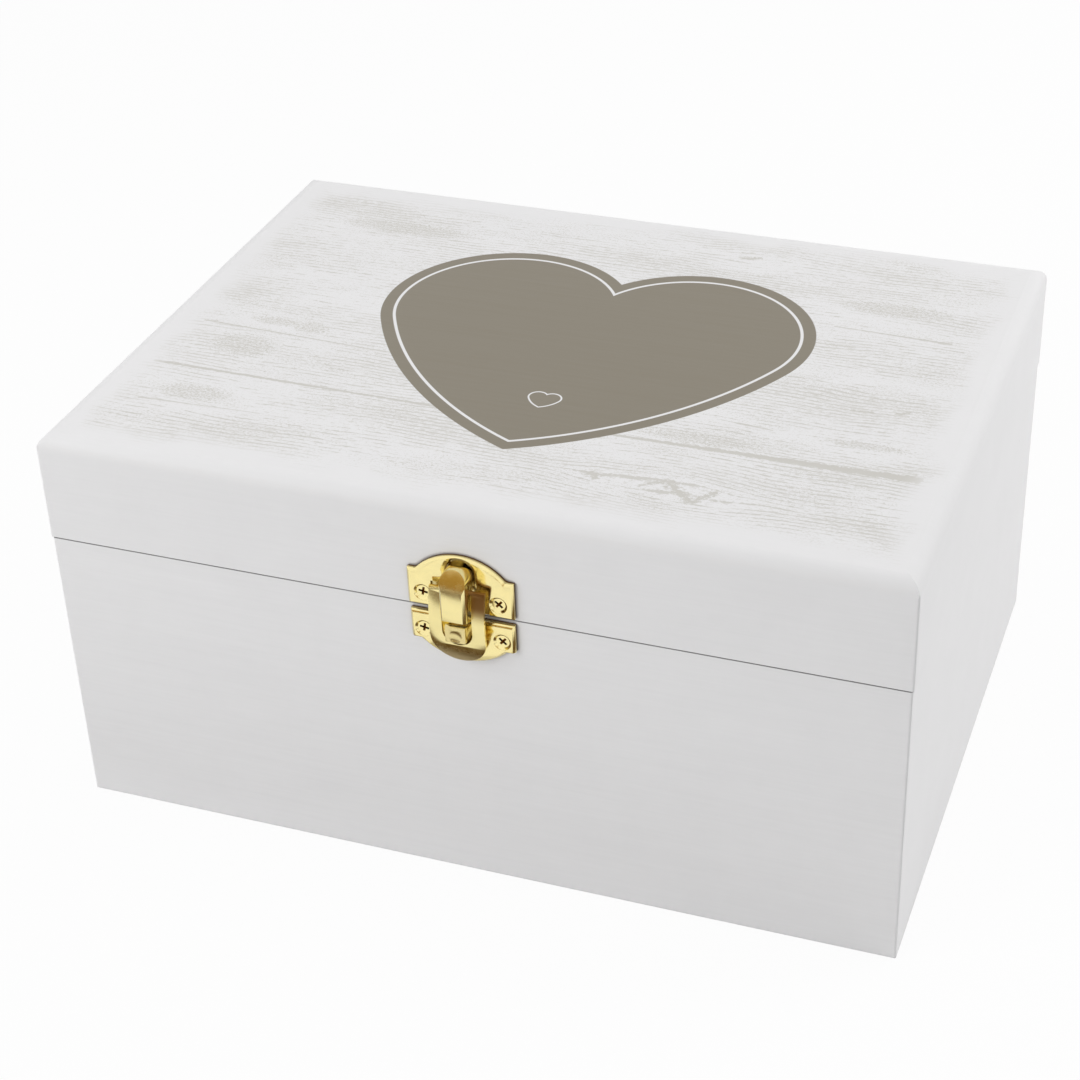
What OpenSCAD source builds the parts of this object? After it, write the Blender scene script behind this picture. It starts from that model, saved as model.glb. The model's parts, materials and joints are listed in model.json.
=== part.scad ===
// Wooden keepsake box with a hinged lid and a brass toggle latch.
// Origin at the centre of the bottom face, front towards -Y, up +Z.

/* [Box] */
// Width of the lid, side to side
box_w = 300; // [260:1:400]
// Depth of the lid, front to back
box_d = 220; // [160:1:300]
// Height of the base up to the seam
base_h = 110; // [60:1:160]
// Height from the seam to the top of the lid
lid_h = 40; // [38:1:60]
// Gap at the seam between base and lid
seam_gap = 0.3; // [0.2:0.1:0.6]
// How far the lid stands out past the base at the front and the sides
lid_proud = 0.4; // [0.2:0.1:1]

/* [Wood] */
// Thickness of the walls and of the lid's top board
wall_t = 9; // [8:0.5:14]
// Thickness of the bottom panel
bottom_t = 5; // [3:0.5:8]
// Radius of the round-over along the lid's top edges
top_r = 5.5; // [2:0.5:7]
// Radius on the upright corners
corner_r = 0.8; // [0.4:0.1:2]
// Chamfer along the edges that meet at the seam
seam_chamfer = 0.25; // [0.1:0.05:0.5]
// Chamfer along the bottom edges
foot_chamfer = 0.6; // [0.3:0.1:1.5]

/* [Latch plates] */
// Distance of the latch to the right of the box's middle
latch_x = 2; // [-60:1:60]
// How far the pressed plates stand out from the wood
plate_d = 2.2; // [2:0.1:3]
// Thickness of the plates' sheet
sheet_t = 0.9; // [0.7:0.05:1]
// Bevel along the plates' front edges
plate_bevel = 0.8; // [0.3:0.1:1]
// Half the width of the upper plate
upper_hw = 18.35; // [17:0.05:22]
// Bottom edge of the upper plate above the seam
upper_z0 = 1.5; // [1:0.1:2]
// Square shoulders of the upper plate above the seam
shoulder_z = 15.1; // [14.5:0.1:16]
// Top of the upper plate's crown above the seam
crown_z = 22.3; // [22:0.1:24]
// Half the width of the crown at the shoulders
crown_hw = 15.5; // [14:0.1:16]
// Radius of the hollow between crown and shoulder
flare_r = 2; // [1:0.1:2.5]
// Half the width of the lower plate
lower_hw = 18.1; // [17:0.05:22]
// Top edge of the lower plate below the seam
lower_top = 1.1; // [1:0.1:2]
// Roll along the lower plate's top edge
roll_r = 1.4; // [0.8:0.1:1.8]
// Square sides of the lower plate end this far below the seam
lower_side = 11.6; // [11:0.1:13]
// Lowest point of the lower plate below the seam
lower_low = 18.3; // [18:0.1:22]

/* [Latch lever] */
// Half the width of the lever
lever_hw = 4.4; // [4.2:0.05:5]
// Thickness of the lever's sheet
lever_t = 0.6; // [0.5:0.05:0.8]
// Distance of the lever's flat front from the lid
lever_front = 9.3; // [9:0.1:11]
// Distance of the lever's pin from the lid
pin_d = 5.4; // [5.3:0.05:6]
// Height of the lever's pin above the seam
pin_z = 16.2; // [15.8:0.1:16.6]
// Radius of the lever's pin
pin_r = 0.8; // [0.6:0.05:0.9]
// Lower end of the lever's front above the seam
lever_low = 2; // [1:0.1:4]
// Top of the lever's flat front above the seam
lever_flat_top = 13; // [11:0.1:14]

/* [Latch ring] */
// Half the width of the ring
ring_hw = 9.6; // [9:0.1:9.7]
// Half the width of the ring's opening
ring_in = 5.2; // [4.9:0.1:5.6]
// Thickness of the ring
ring_t = 1; // [0.8:0.05:1.2]
// Distance of the ring's bar from the lid
bar_d = 4.1; // [3.8:0.05:4.4]
// Height of the ring's bar above the seam
bar_z = 11; // [10.6:0.1:11]
// Radius of the ring's bar
bar_r = 0.8; // [0.6:0.05:0.9]
// Radius of the bow in the ring's side view
ring_bow_r = 47; // [44:1:70]
// Lowest point of the ring below the seam
ring_low = 16.5; // [16:0.1:17.5]
// Lower end of the ring's opening below the seam
ring_in_low = 9.2; // [9:0.1:9.6]

/* [Latch hook] */
// Half the width of the hook
hook_hw = 3.5; // [3:0.1:3.6]
// How far the hook stands out from the base
hook_d = 8.4; // [7.5:0.1:8.6]

/* [Hinges] */
// Distance of each hinge from the middle of the box
hinge_x = 85; // [40:1:105]
// Width of a hinge
hinge_w = 25; // [24:0.5:40]
// Height of one hinge leaf from the pin
leaf_h = 10; // [9:0.5:14]
// Thickness of a hinge leaf
leaf_t = 1; // [0.8:0.1:1.2]
// Outer radius of the knuckles
barrel_r = 2; // [1.8:0.1:2.4]
// Radius of the hinge pins
hinge_pin_r = 1; // [0.8:0.05:1.1]
// Angle at which the stop ear meets the base leaf
open_angle = 100; // [95:1:110]

/* [Screws and fits] */
// Radius of the latch screws' shanks
screw_r = 1.2; // [1:0.05:1.3]
// Radius of the latch screws' heads
screw_head_r = 2.3; // [2:0.05:2.4]
// Radius of the hinge screws' shanks
small_screw_r = 0.95; // [0.8:0.05:1]
// Radius of the hinge screws' heads
small_head_r = 1.8; // [1.6:0.05:1.9]
// Depth that the screws go into the wood
screw_in = 6.5; // [5:0.5:7]
// Radial clearance of shafts in their holes
fit_gap = 0.05; // [0.02:0.01:0.08]
// Gap between parts that pass each other
pass_gap = 0.3; // [0.3:0.05:0.5]

/* [Hidden] */
$fn = 64;

paint = "white";
ply = "burlywood";
brass = "goldenrod";

base_hw = box_w / 2 - lid_proud;
base_y0 = -box_d / 2 + lid_proud;
lid_hw = box_w / 2;
lid_y0 = -box_d / 2;
back_y = box_d / 2;
lid_z0 = base_h + seam_gap;
lid_z1 = base_h + lid_h;
top_board_z = lid_z1 - wall_t;
lap_t = wall_t / 2;
past = 1;

crown_r = (pow(crown_hw, 2) + pow(crown_z - shoulder_z, 2)) / (2 * (crown_z - shoulder_z));
crown_c = crown_z - crown_r;
keel_drop = lower_low - lower_side;
keel_r = (pow(crown_hw, 2) + pow(keel_drop, 2)) / (2 * keel_drop);
keel_c = keel_r - lower_low;

arch_z = pin_z - 0.2;
lever_top = arch_z + lever_hw;
swing_r = lever_top - pin_z;
slope_d = 6.2;
tongue_hw = 1.2;
tongue_boss_r = pin_r + 0.6;
tongue_strip_t = 1.6;
tongue_lean = 55;
arch_hole_r = lever_hw + 0.35;
notch_hw = ring_hw + 0.4;
notch_z = bar_z + 0.8;
ring_top = bar_z + 0.6;
dish_w = 1.9;
dish_in = 1;

upper_screw = [13.1, 6.6];
lower_screw = [13.7, -8];
head_t = screw_head_r - screw_r;
head_d = 1.5;
dish_r = 3.1;
boss_r = dish_r + 0.6;
small_head_t = small_head_r - small_screw_r;

axis_y = back_y + barrel_r + pass_gap;
axis_z = base_h + seam_gap / 2;
knuckle_w = (hinge_w - 2 * pass_gap) / 3;
leaf_screw_x = hinge_w / 2 - 4.5;
leaf_screw_z = leaf_h * 0.62;
ear_l = 6;
ear_t = 1;
ear_hw = knuckle_w / 2 - 0.6;
leaf_c = axis_y - back_y - leaf_t;
ear_reach = sqrt(pow(ear_l, 2) + pow(ear_t / 2, 2));
ear_meet = acos(-leaf_c / ear_reach) - atan(ear_t / 2 / ear_l);
ear_rise = open_angle + 0.7 - ear_meet;

// ---------- helpers ----------

// Block between two opposite corners, given in any order
module span(a, b) {
    translate([min(a.x, b.x), min(a.y, b.y), min(a.z, b.z)])
        cube([abs(b.x - a.x), abs(b.y - a.y), abs(b.z - a.z)]);
}

// Flat shape in X and Z, made solid from d0 to d1 in front of the local face
module forward(d0, d1) {
    translate([0, -d0, 0])
        rotate([90, 0, 0])
            linear_extrude(height = d1 - d0) children();
}

// Side view, with forward distance and Z, made solid over x0 to x1
module across(x0, x1) {
    mirror([0, 1, 0])
        translate([x0, 0, 0])
            rotate([90, 0, 90])
                linear_extrude(height = x1 - x0) children();
}

// Shaft along Y over y0 to y1
module y_shaft(x, z, y0, y1, r) {
    translate([x, y1, z])
        rotate([90, 0, 0])
            cylinder(h = y1 - y0, r = r);
}

// Shaft along X over x0 to x1
module x_shaft(x0, x1, y, z, r) {
    translate([x0, y, z])
        rotate([0, 90, 0])
            cylinder(h = x1 - x0, r = r);
}

module rounded_rect(x0, y0, x1, y1, r) {
    translate([x0 + r, y0]) square([x1 - x0 - 2 * r, y1 - y0]);
    translate([x0, y0 + r]) square([x1 - x0, y1 - y0 - 2 * r]);
    for (x = [x0 + r, x1 - r], y = [y0 + r, y1 - r])
        translate([x, y]) circle(r = r);
}

// Upright outline with chamfers of size low and high
module chamfered(x0, x1, z0, z1, low, high) {
    polygon([[x0 + low, z0], [x1 - low, z0], [x1, z0 + low], [x1, z1 - high],
        [x1 - high, z1], [x0 + high, z1], [x0, z1 - high], [x0, z0 + low]]);
}

// Upright outline that is square below and round above
module round_topped(x0, x1, z0, z1, r) {
    translate([x0, z0]) square([x1 - x0, z1 - z0 - r]);
    translate([x0 + r, z0]) square([x1 - x0 - 2 * r, z1 - z0]);
    for (x = [x0 + r, x1 - r])
        translate([x, z1 - r]) circle(r = r);
}

module at_upper() {
    translate([latch_x, lid_y0, base_h]) children();
}

module at_lower() {
    translate([latch_x, base_y0, base_h]) children();
}

// ---------- wood ----------

// Outside of the closed base
module base_block() {
    intersection() {
        linear_extrude(height = base_h)
            rounded_rect(-base_hw, base_y0, base_hw, back_y, corner_r);
        translate([0, back_y + past, 0])
            rotate([90, 0, 0])
                linear_extrude(height = box_d + 2 * past)
                    chamfered(-base_hw, base_hw, 0, base_h, foot_chamfer, seam_chamfer);
        translate([-box_w / 2, 0, 0])
            rotate([90, 0, 90])
                linear_extrude(height = box_w)
                    chamfered(base_y0, back_y, 0, base_h, foot_chamfer, seam_chamfer);
    }
}

// Outside of the lid below its top board
module lid_block() {
    intersection() {
        translate([0, 0, lid_z0])
            linear_extrude(height = top_board_z - lid_z0)
                rounded_rect(-lid_hw, lid_y0, lid_hw, back_y, corner_r);
        translate([0, back_y + past, 0])
            rotate([90, 0, 0])
                linear_extrude(height = box_d + 2 * past)
                    chamfered(-lid_hw, lid_hw, lid_z0, lid_z1, seam_chamfer, seam_chamfer);
        translate([-lid_hw - past, 0, 0])
            rotate([90, 0, 90])
                linear_extrude(height = box_w + 2 * past)
                    chamfered(lid_y0, back_y, lid_z0, lid_z1, seam_chamfer, seam_chamfer);
    }
}

// Space of a full-width board, lapped at both ends over the side boards
module wide_cell(half, y_out, y_in, z0, z1) {
    y_lap = y_out + (y_in > y_out ? lap_t : -lap_t);
    y_past = 2 * y_in - y_out;
    difference() {
        span([-half, y_out, z0], [half, y_in, z1]);
        for (s = [-1, 1])
            span([s * (half - wall_t), y_lap, z0 - past], [s * (half + past), y_past, z1 + past]);
    }
}

// Space of a side board between the laps of the front and back boards
module side_cell(s, half, y_front, z0, z1) {
    span([s * half, y_front + lap_t, z0], [s * (half - wall_t), back_y - lap_t, z1]);
}

module panel_space() {
    span([-base_hw + lap_t, base_y0 + lap_t, 0], [base_hw - lap_t, back_y - lap_t, bottom_t]);
}

module base_board() {
    intersection() {
        base_block();
        difference() {
            children();
            translate([0, 0, -past]) panel_space();
            panel_space();
        }
    }
}

module latch_screw_holes(place, face_y) {
    for (s = [-1, 1])
        y_shaft(latch_x + s * place.x, base_h + place.y, face_y - past,
            face_y + screw_in + pass_gap, screw_r + fit_gap);
}

module hinge_screw_holes(side) {
    for (h = [-1, 1], s = [-1, 1])
        y_shaft(h * hinge_x + s * leaf_screw_x, axis_z + side * leaf_screw_z,
            back_y - screw_in - pass_gap, back_y + past, small_screw_r + fit_gap);
}

module front_board() {
    color(paint)
        difference() {
            base_board() wide_cell(base_hw, base_y0, base_y0 + wall_t, 0, base_h);
            latch_screw_holes(lower_screw, base_y0);
        }
}

module back_board() {
    color(paint)
        difference() {
            base_board() wide_cell(base_hw, back_y, back_y - wall_t, 0, base_h);
            hinge_screw_holes(-1);
        }
}

module left_board() {
    color(paint)
        base_board() side_cell(-1, base_hw, base_y0, 0, base_h);
}

module right_board() {
    color(paint)
        base_board() side_cell(1, base_hw, base_y0, 0, base_h);
}

module bottom_panel() {
    color(ply) panel_space();
}

module lid_front_rail() {
    color(paint)
        difference() {
            intersection() {
                lid_block();
                wide_cell(lid_hw, lid_y0, lid_y0 + wall_t, lid_z0, top_board_z);
            }
            latch_screw_holes(upper_screw, lid_y0);
        }
}

module lid_back_rail() {
    color(paint)
        difference() {
            intersection() {
                lid_block();
                wide_cell(lid_hw, back_y, back_y - wall_t, lid_z0, top_board_z);
            }
            hinge_screw_holes(1);
        }
}

module lid_left_rail() {
    color(paint)
        intersection() {
            lid_block();
            side_cell(-1, lid_hw, lid_y0, lid_z0, top_board_z);
        }
}

module lid_right_rail() {
    color(paint)
        intersection() {
            lid_block();
            side_cell(1, lid_hw, lid_y0, lid_z0, top_board_z);
        }
}

module lid_top_board() {
    color(paint)
        intersection() {
            translate([0, 0, top_board_z])
                linear_extrude(height = wall_t)
                    rounded_rect(-lid_hw, lid_y0, lid_hw, back_y, corner_r);
            translate([0, back_y + past, 0])
                rotate([90, 0, 0])
                    linear_extrude(height = box_d + 2 * past)
                        round_topped(-lid_hw, lid_hw, lid_z0, lid_z1, top_r);
            translate([-lid_hw - past, 0, 0])
                rotate([90, 0, 90])
                    linear_extrude(height = box_w + 2 * past)
                        round_topped(lid_y0, back_y, lid_z0, lid_z1, top_r);
        }
}

// ---------- latch plates ----------

// Pressed block with bevelled front edges; roll rounds the top edge instead
module tray_block(hw, z0, z1, roll) {
    intersection() {
        translate([0, 0, z0])
            linear_extrude(height = z1 - z0)
                polygon([[-hw, 0], [hw, 0], [hw, plate_bevel - plate_d], [hw - plate_bevel, -plate_d],
                    [plate_bevel - hw, -plate_d], [-hw, plate_bevel - plate_d]]);
        across(-hw, hw)
            if (roll > 0) {
                translate([0, z0]) square([plate_d, z1 - z0 - roll]);
                translate([0, z0]) square([plate_d - roll, z1 - z0]);
                translate([plate_d - roll, z1 - roll]) circle(r = roll);
            } else {
                polygon([[0, z0], [plate_d - plate_bevel, z0], [plate_d, z0 + plate_bevel],
                    [plate_d, z1 - plate_bevel], [plate_d - plate_bevel, z1], [0, z1]]);
            }
    }
}

// Round part of a plate: a disc with a bevelled rim, kept between z0 and z1
module tray_disc(centre, r, z0, z1) {
    intersection() {
        union() {
            forward(0, plate_d - plate_bevel) translate([0, centre]) circle(r = r);
            translate([0, plate_bevel - plate_d, centre])
                rotate([90, 0, 0])
                    cylinder(h = plate_bevel, r1 = r, r2 = r - plate_bevel);
        }
        span([-crown_hw, 0, z0], [crown_hw, -plate_d, z1]);
    }
}

module arch_outline(r, z0) {
    translate([-r, z0]) square([2 * r, arch_z - z0]);
    translate([0, arch_z]) circle(r = r);
}

// Small hollow that joins the crown to a shoulder
module flare() {
    fz = shoulder_z + flare_r;
    fx = sqrt(pow(crown_r + flare_r, 2) - pow(fz - crown_c, 2));
    k = crown_r / (crown_r + flare_r);
    forward(0, plate_d - plate_bevel)
        difference() {
            polygon([[fx, shoulder_z], [fx * k, crown_c + (fz - crown_c) * k],
                [fx * k - 1, shoulder_z - 1], [fx, shoulder_z - 1]]);
            translate([fx, fz]) circle(r = flare_r);
        }
}

// Dish and countersink for one plate screw
module screw_sink(place) {
    translate([place.x, 0, place.y])
        rotate([90, 0, 0]) {
            translate([0, 0, -past]) cylinder(h = plate_d + 2 * past, r = screw_r + fit_gap);
            translate([0, 0, head_d - head_t]) cylinder(h = head_t, r1 = screw_r, r2 = screw_head_r);
            translate([0, 0, head_d]) cylinder(h = plate_d - head_d, r1 = screw_head_r, r2 = dish_r);
            translate([0, 0, plate_d]) cylinder(h = past, r = dish_r);
        }
}

// Hollow behind the upper plate's sheet
module upper_pocket() {
    forward(-past, plate_d - sheet_t)
        difference() {
            union() {
                translate([-upper_hw + sheet_t, upper_z0 + sheet_t])
                    square([2 * (upper_hw - sheet_t), shoulder_z - upper_z0 - 2 * sheet_t]);
                intersection() {
                    translate([0, crown_c]) circle(r = crown_r - sheet_t);
                    translate([-crown_hw + sheet_t, upper_z0 + sheet_t])
                        square([2 * (crown_hw - sheet_t), crown_z]);
                }
            }
            translate([-notch_hw - sheet_t, upper_z0 - past])
                square([2 * (notch_hw + sheet_t), notch_z + sheet_t - upper_z0 + past]);
            arch_outline(arch_hole_r + dish_w + sheet_t / 2, upper_z0);
            for (s = [-1, 1])
                translate([s * upper_screw.x, upper_screw.y]) circle(r = boss_r);
        }
}

// Sloping dish that the plate has around the lever's dome
module dome_dish() {
    translate([0, dish_in - plate_d, arch_z])
        rotate([90, 0, 0])
            cylinder(h = dish_in, r1 = arch_hole_r, r2 = arch_hole_r + dish_w);
    translate([0, 0, notch_z - past])
        linear_extrude(height = arch_z - notch_z + past)
            polygon([[-arch_hole_r, dish_in - plate_d], [arch_hole_r, dish_in - plate_d],
                [arch_hole_r + dish_w, -plate_d], [-arch_hole_r - dish_w, -plate_d]]);
}

// Tongue that leans out from the plate's floor and holds the lever's pin
module pin_tongue() {
    across(-tongue_hw, tongue_hw) {
        translate([pin_d, pin_z]) circle(r = tongue_boss_r);
        intersection() {
            translate([pin_d, pin_z])
                rotate(tongue_lean)
                    translate([-pin_d * 2, -tongue_strip_t / 2]) square([pin_d * 2, tongue_strip_t]);
            translate([sheet_t / 2, notch_z - 3 * past]) square([pin_d, pin_z - notch_z + 3 * past]);
        }
    }
}

module latch_upper_plate() {
    color(brass)
        at_upper()
            difference() {
                union() {
                    difference() {
                        union() {
                            tray_block(upper_hw, upper_z0, shoulder_z, 0);
                            tray_disc(crown_c, crown_r, shoulder_z - 3 * plate_bevel, crown_z);
                            flare();
                            mirror([1, 0, 0]) flare();
                        }
                        upper_pocket();
                        forward(sheet_t, plate_d + past) {
                            translate([-notch_hw, upper_z0 - past])
                                square([2 * notch_hw, notch_z - upper_z0 + past]);
                            arch_outline(arch_hole_r, upper_z0);
                        }
                        dome_dish();
                    }
                    pin_tongue();
                }
                x_shaft(-lever_hw, lever_hw, -pin_d, pin_z, pin_r);
                for (s = [-1, 1]) screw_sink([s * upper_screw.x, upper_screw.y]);
            }
}

// Hollow behind the lower plate's sheet
module lower_pocket() {
    top = -lower_top - roll_r;
    forward(-past, plate_d - sheet_t)
        difference() {
            union() {
                translate([-lower_hw + sheet_t, -lower_side + sheet_t])
                    square([2 * (lower_hw - sheet_t), top + lower_side - sheet_t]);
                intersection() {
                    translate([0, keel_c]) circle(r = keel_r - sheet_t);
                    translate([-crown_hw + sheet_t, -lower_low])
                        square([2 * (crown_hw - sheet_t), lower_low + top]);
                }
            }
            translate([-hook_hw - sheet_t, -ring_in_low - sheet_t])
                square([2 * (hook_hw + sheet_t), ring_in_low + sheet_t]);
            for (s = [-1, 1])
                translate([s * lower_screw.x, lower_screw.y]) circle(r = boss_r);
        }
}

// Hook that the ring drops over: its top slopes up to a lip
module hook() {
    low = ring_in_low - 0.6;
    corner = 2.6;
    root_top = -3.2;
    neck_d = 5.4;
    neck_top = -1.8;
    lip_t = 0.7;
    lip_top = -0.6;
    nose_rise = 0.6;
    under_d = 5;
    under_rise = 0.2;
    nose_low = 1.8 - low;
    intersection() {
        across(-hook_hw, hook_hw)
            polygon([[sheet_t, root_top], [neck_d, neck_top], [hook_d - lip_t, lip_top],
                [hook_d, lip_top - nose_rise], [hook_d, nose_low], [hook_d - lip_t, nose_low - nose_rise],
                [under_d, under_rise - low], [sheet_t, -low]]);
        forward(0, hook_d + past) {
            translate([-hook_hw, corner - low]) square([2 * hook_hw, low]);
            translate([corner - hook_hw, -low]) square([2 * (hook_hw - corner), low]);
            for (s = [-1, 1])
                translate([s * (hook_hw - corner), corner - low]) circle(r = corner);
        }
    }
}

module latch_lower_plate() {
    dish = 0.5;
    dish_ball = 6;
    dish_z = -4.6;
    color(brass)
        at_lower()
            difference() {
                union() {
                    difference() {
                        union() {
                            tray_block(lower_hw, -lower_side, -lower_top, roll_r);
                            tray_disc(keel_c, keel_r, -lower_low, 3 * plate_bevel - lower_side);
                        }
                        lower_pocket();
                    }
                    hook();
                }
                translate([0, -hook_d - dish_ball + dish, dish_z]) sphere(r = dish_ball);
                for (s = [-1, 1]) screw_sink([s * lower_screw.x, lower_screw.y]);
            }
}

// ---------- latch lever, ring and pin ----------

// Side view of the lever: flat front, sloping panel above it, round back about the pin
module lever_side() {
    rear_d = 3.3;
    rear_z = lever_low - 2.1;
    polygon([[rear_d, rear_z], [lever_front, lever_low], [lever_front, lever_flat_top],
        [slope_d, lever_top], [pin_d, lever_top], [pin_d, pin_z], [pin_d - swing_r, pin_z]]);
    intersection() {
        translate([pin_d, pin_z]) circle(r = swing_r);
        translate([pin_d - swing_r, pin_z]) square([swing_r, swing_r]);
    }
}

// Front edges of the lever are bevelled on both sides
module lever_plan(bevel) {
    mirror([0, 1])
        polygon([[-lever_hw, 0], [lever_hw, 0], [lever_hw, lever_front - bevel],
            [lever_hw - bevel, lever_front], [bevel - lever_hw, lever_front],
            [-lever_hw, lever_front - bevel]]);
}

module latch_lever() {
    bevel = 0.9;
    inner_hw = lever_hw - lever_t;
    inner_d = lever_front - 1.3 * lever_t;
    inner_top = lever_top - lever_t;
    rise = lever_top - lever_flat_top;
    run = lever_front - slope_d;
    slope_in = lever_t * norm([run, rise]) / rise;
    inner_flat_top = lever_flat_top + (lever_front - slope_in - inner_d) * rise / run;
    inner_slope_d = lever_front - slope_in - (inner_top - lever_flat_top) * run / rise;
    dimple = 0.35;
    color(brass)
        at_upper()
            difference() {
                intersection() {
                    across(-lever_hw, lever_hw) lever_side();
                    forward(0, lever_front) arch_outline(lever_hw, -past);
                    translate([0, 0, -past]) linear_extrude(height = lever_top + 2 * past) lever_plan(bevel);
                }
                intersection() {
                    across(-inner_hw, inner_hw)
                        polygon([[0, -2 * past], [inner_d, -2 * past], [inner_d, inner_flat_top],
                            [inner_slope_d, inner_top], [0, inner_top]]);
                    forward(-past, lever_front) arch_outline(inner_hw, -3 * past);
                }
                x_shaft(-lever_hw - past, lever_hw + past, -bar_d, bar_z, bar_r + fit_gap);
                x_shaft(-inner_hw - dimple, inner_hw + dimple, -pin_d, pin_z, pin_r + fit_gap);
            }
}

// Front view of the ring: square above, round below
module ring_outline() {
    round_z = ring_hw - ring_low;
    in_round_z = ring_in - ring_in_low;
    difference() {
        union() {
            translate([-ring_hw, round_z]) square([2 * ring_hw, ring_top - round_z]);
            translate([0, round_z]) circle(r = ring_hw);
        }
        translate([-ring_in, in_round_z]) square([2 * ring_in, ring_top + past - in_round_z]);
        translate([0, in_round_z]) circle(r = ring_in);
    }
}

// Side view of the ring: one bow that swells out over the hook and comes back to the plate
module ring_side() {
    foot_d = 3.2;
    head = [bar_d, ring_top];
    foot = [foot_d, -ring_low];
    chord = foot - head;
    inward = [chord.y, -chord.x] / norm(chord);
    centre = (head + foot) / 2 + inward * sqrt(pow(ring_bow_r, 2) - pow(norm(chord) / 2, 2));
    intersection() {
        translate(centre)
            difference() {
                circle(r = ring_bow_r + ring_t / 2);
                circle(r = ring_bow_r - ring_t / 2);
            }
        translate([0, -ring_low - past]) square([lever_front, ring_low + ring_top + 2 * past]);
    }
}

module latch_ring() {
    color(brass)
        at_upper()
            union() {
                intersection() {
                    forward(0, lever_front) ring_outline();
                    across(-ring_hw, ring_hw) ring_side();
                }
                x_shaft(-ring_in - 0.4, ring_in + 0.4, -bar_d, bar_z, bar_r);
            }
}

module lever_pin() {
    color(brass)
        at_upper()
            x_shaft(-lever_hw + lever_t - 0.3, lever_hw - lever_t + 0.3, -pin_d, pin_z, pin_r);
}

// ---------- screws ----------

// Countersunk screw pointing down, with its head's face at zero and a cross recess
module wood_screw(r, head_r, length) {
    cone_t = head_r - r;
    slot_w = head_r * 0.36;
    slot_l = head_r * 1.44;
    slot_in = head_r * 0.5;
    difference() {
        union() {
            translate([0, 0, -cone_t]) cylinder(h = cone_t, r1 = r, r2 = head_r);
            translate([0, 0, -length]) cylinder(h = length - cone_t, r = r);
        }
        intersection() {
            translate([0, 0, -slot_in]) cylinder(h = 2 * slot_in, r1 = slot_w, r2 = slot_l - slot_w);
            union() {
                cube([slot_w, 2 * slot_l, 2 * slot_in], center = true);
                cube([2 * slot_l, slot_w, 2 * slot_in], center = true);
            }
        }
    }
}

module front_screws(place) {
    for (s = [-1, 1])
        translate([s * place.x, -head_d, place.y])
            rotate([90, 0, 0])
                rotate([0, 0, 20 + 30 * s])
                    wood_screw(screw_r, screw_head_r, head_d + screw_in);
}

module upper_latch_screws() {
    color(brass) at_upper() front_screws(upper_screw);
}

module lower_latch_screws() {
    color(brass) at_lower() front_screws(lower_screw);
}

module back_screws(side) {
    for (h = [-1, 1], s = [-1, 1])
        translate([h * hinge_x + s * leaf_screw_x, back_y + leaf_t, axis_z + side * leaf_screw_z])
            rotate([-90, 0, 0])
                rotate([0, 0, 15 * s])
                    wood_screw(small_screw_r, small_head_r, leaf_t + screw_in);
}

module hinge_base_screws() {
    color(brass) back_screws(-1);
}

module hinge_lid_screws() {
    color(brass) back_screws(1);
}

// ---------- hinges ----------

// Flat leaf with screw holes; side is -1 below the pin and 1 above it
module leaf_plate(side) {
    difference() {
        span([-hinge_w / 2, back_y, axis_z], [hinge_w / 2, back_y + leaf_t, axis_z + side * leaf_h]);
        for (s = [-1, 1])
            translate([s * leaf_screw_x, back_y + leaf_t, axis_z + side * leaf_screw_z])
                rotate([-90, 0, 0]) {
                    translate([0, 0, -leaf_t - past])
                        cylinder(h = leaf_t + 2 * past, r = small_screw_r + fit_gap);
                    translate([0, 0, -small_head_t])
                        cylinder(h = small_head_t, r1 = small_screw_r, r2 = small_head_r);
                }
    }
}

module knuckle_gap(x0, x1) {
    clear_r = barrel_r + pass_gap;
    span([x0, back_y - past, axis_z - clear_r], [x1, axis_y + past, axis_z + clear_r]);
}

// Base leaf: knuckles at both ends
module base_leaf() {
    inner = knuckle_w / 2 + pass_gap;
    difference() {
        union() {
            difference() {
                leaf_plate(-1);
                knuckle_gap(-inner, inner);
            }
            for (s = [-1, 1])
                x_shaft(s > 0 ? inner : -hinge_w / 2, s > 0 ? hinge_w / 2 : -inner, axis_y, axis_z, barrel_r);
        }
        x_shaft(-hinge_w, hinge_w, axis_y, axis_z, hinge_pin_r);
    }
}

// Lid leaf: one knuckle in the middle, with the ear that stops the lid
module lid_leaf() {
    inner = knuckle_w / 2;
    difference() {
        union() {
            difference() {
                leaf_plate(1);
                knuckle_gap(inner, hinge_w);
                knuckle_gap(-hinge_w, -inner);
            }
            x_shaft(-inner, inner, axis_y, axis_z, barrel_r);
            translate([0, axis_y, axis_z])
                rotate([ear_rise, 0, 0])
                    span([-ear_hw, barrel_r / 2 + hinge_pin_r / 2, -ear_t / 2], [ear_hw, ear_l, ear_t / 2]);
        }
        x_shaft(-hinge_w, hinge_w, axis_y, axis_z, hinge_pin_r + fit_gap);
    }
}

module pin_of_hinge() {
    x_shaft(-hinge_w / 2, hinge_w / 2, axis_y, axis_z, hinge_pin_r);
}

module hinge_left_base_leaf() {
    color(brass) translate([-hinge_x, 0, 0]) base_leaf();
}

module hinge_left_lid_leaf() {
    color(brass) translate([-hinge_x, 0, 0]) lid_leaf();
}

module hinge_left_pin() {
    color(brass) translate([-hinge_x, 0, 0]) pin_of_hinge();
}

module hinge_right_base_leaf() {
    color(brass) translate([hinge_x, 0, 0]) base_leaf();
}

module hinge_right_lid_leaf() {
    color(brass) translate([hinge_x, 0, 0]) lid_leaf();
}

module hinge_right_pin() {
    color(brass) translate([hinge_x, 0, 0]) pin_of_hinge();
}

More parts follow.
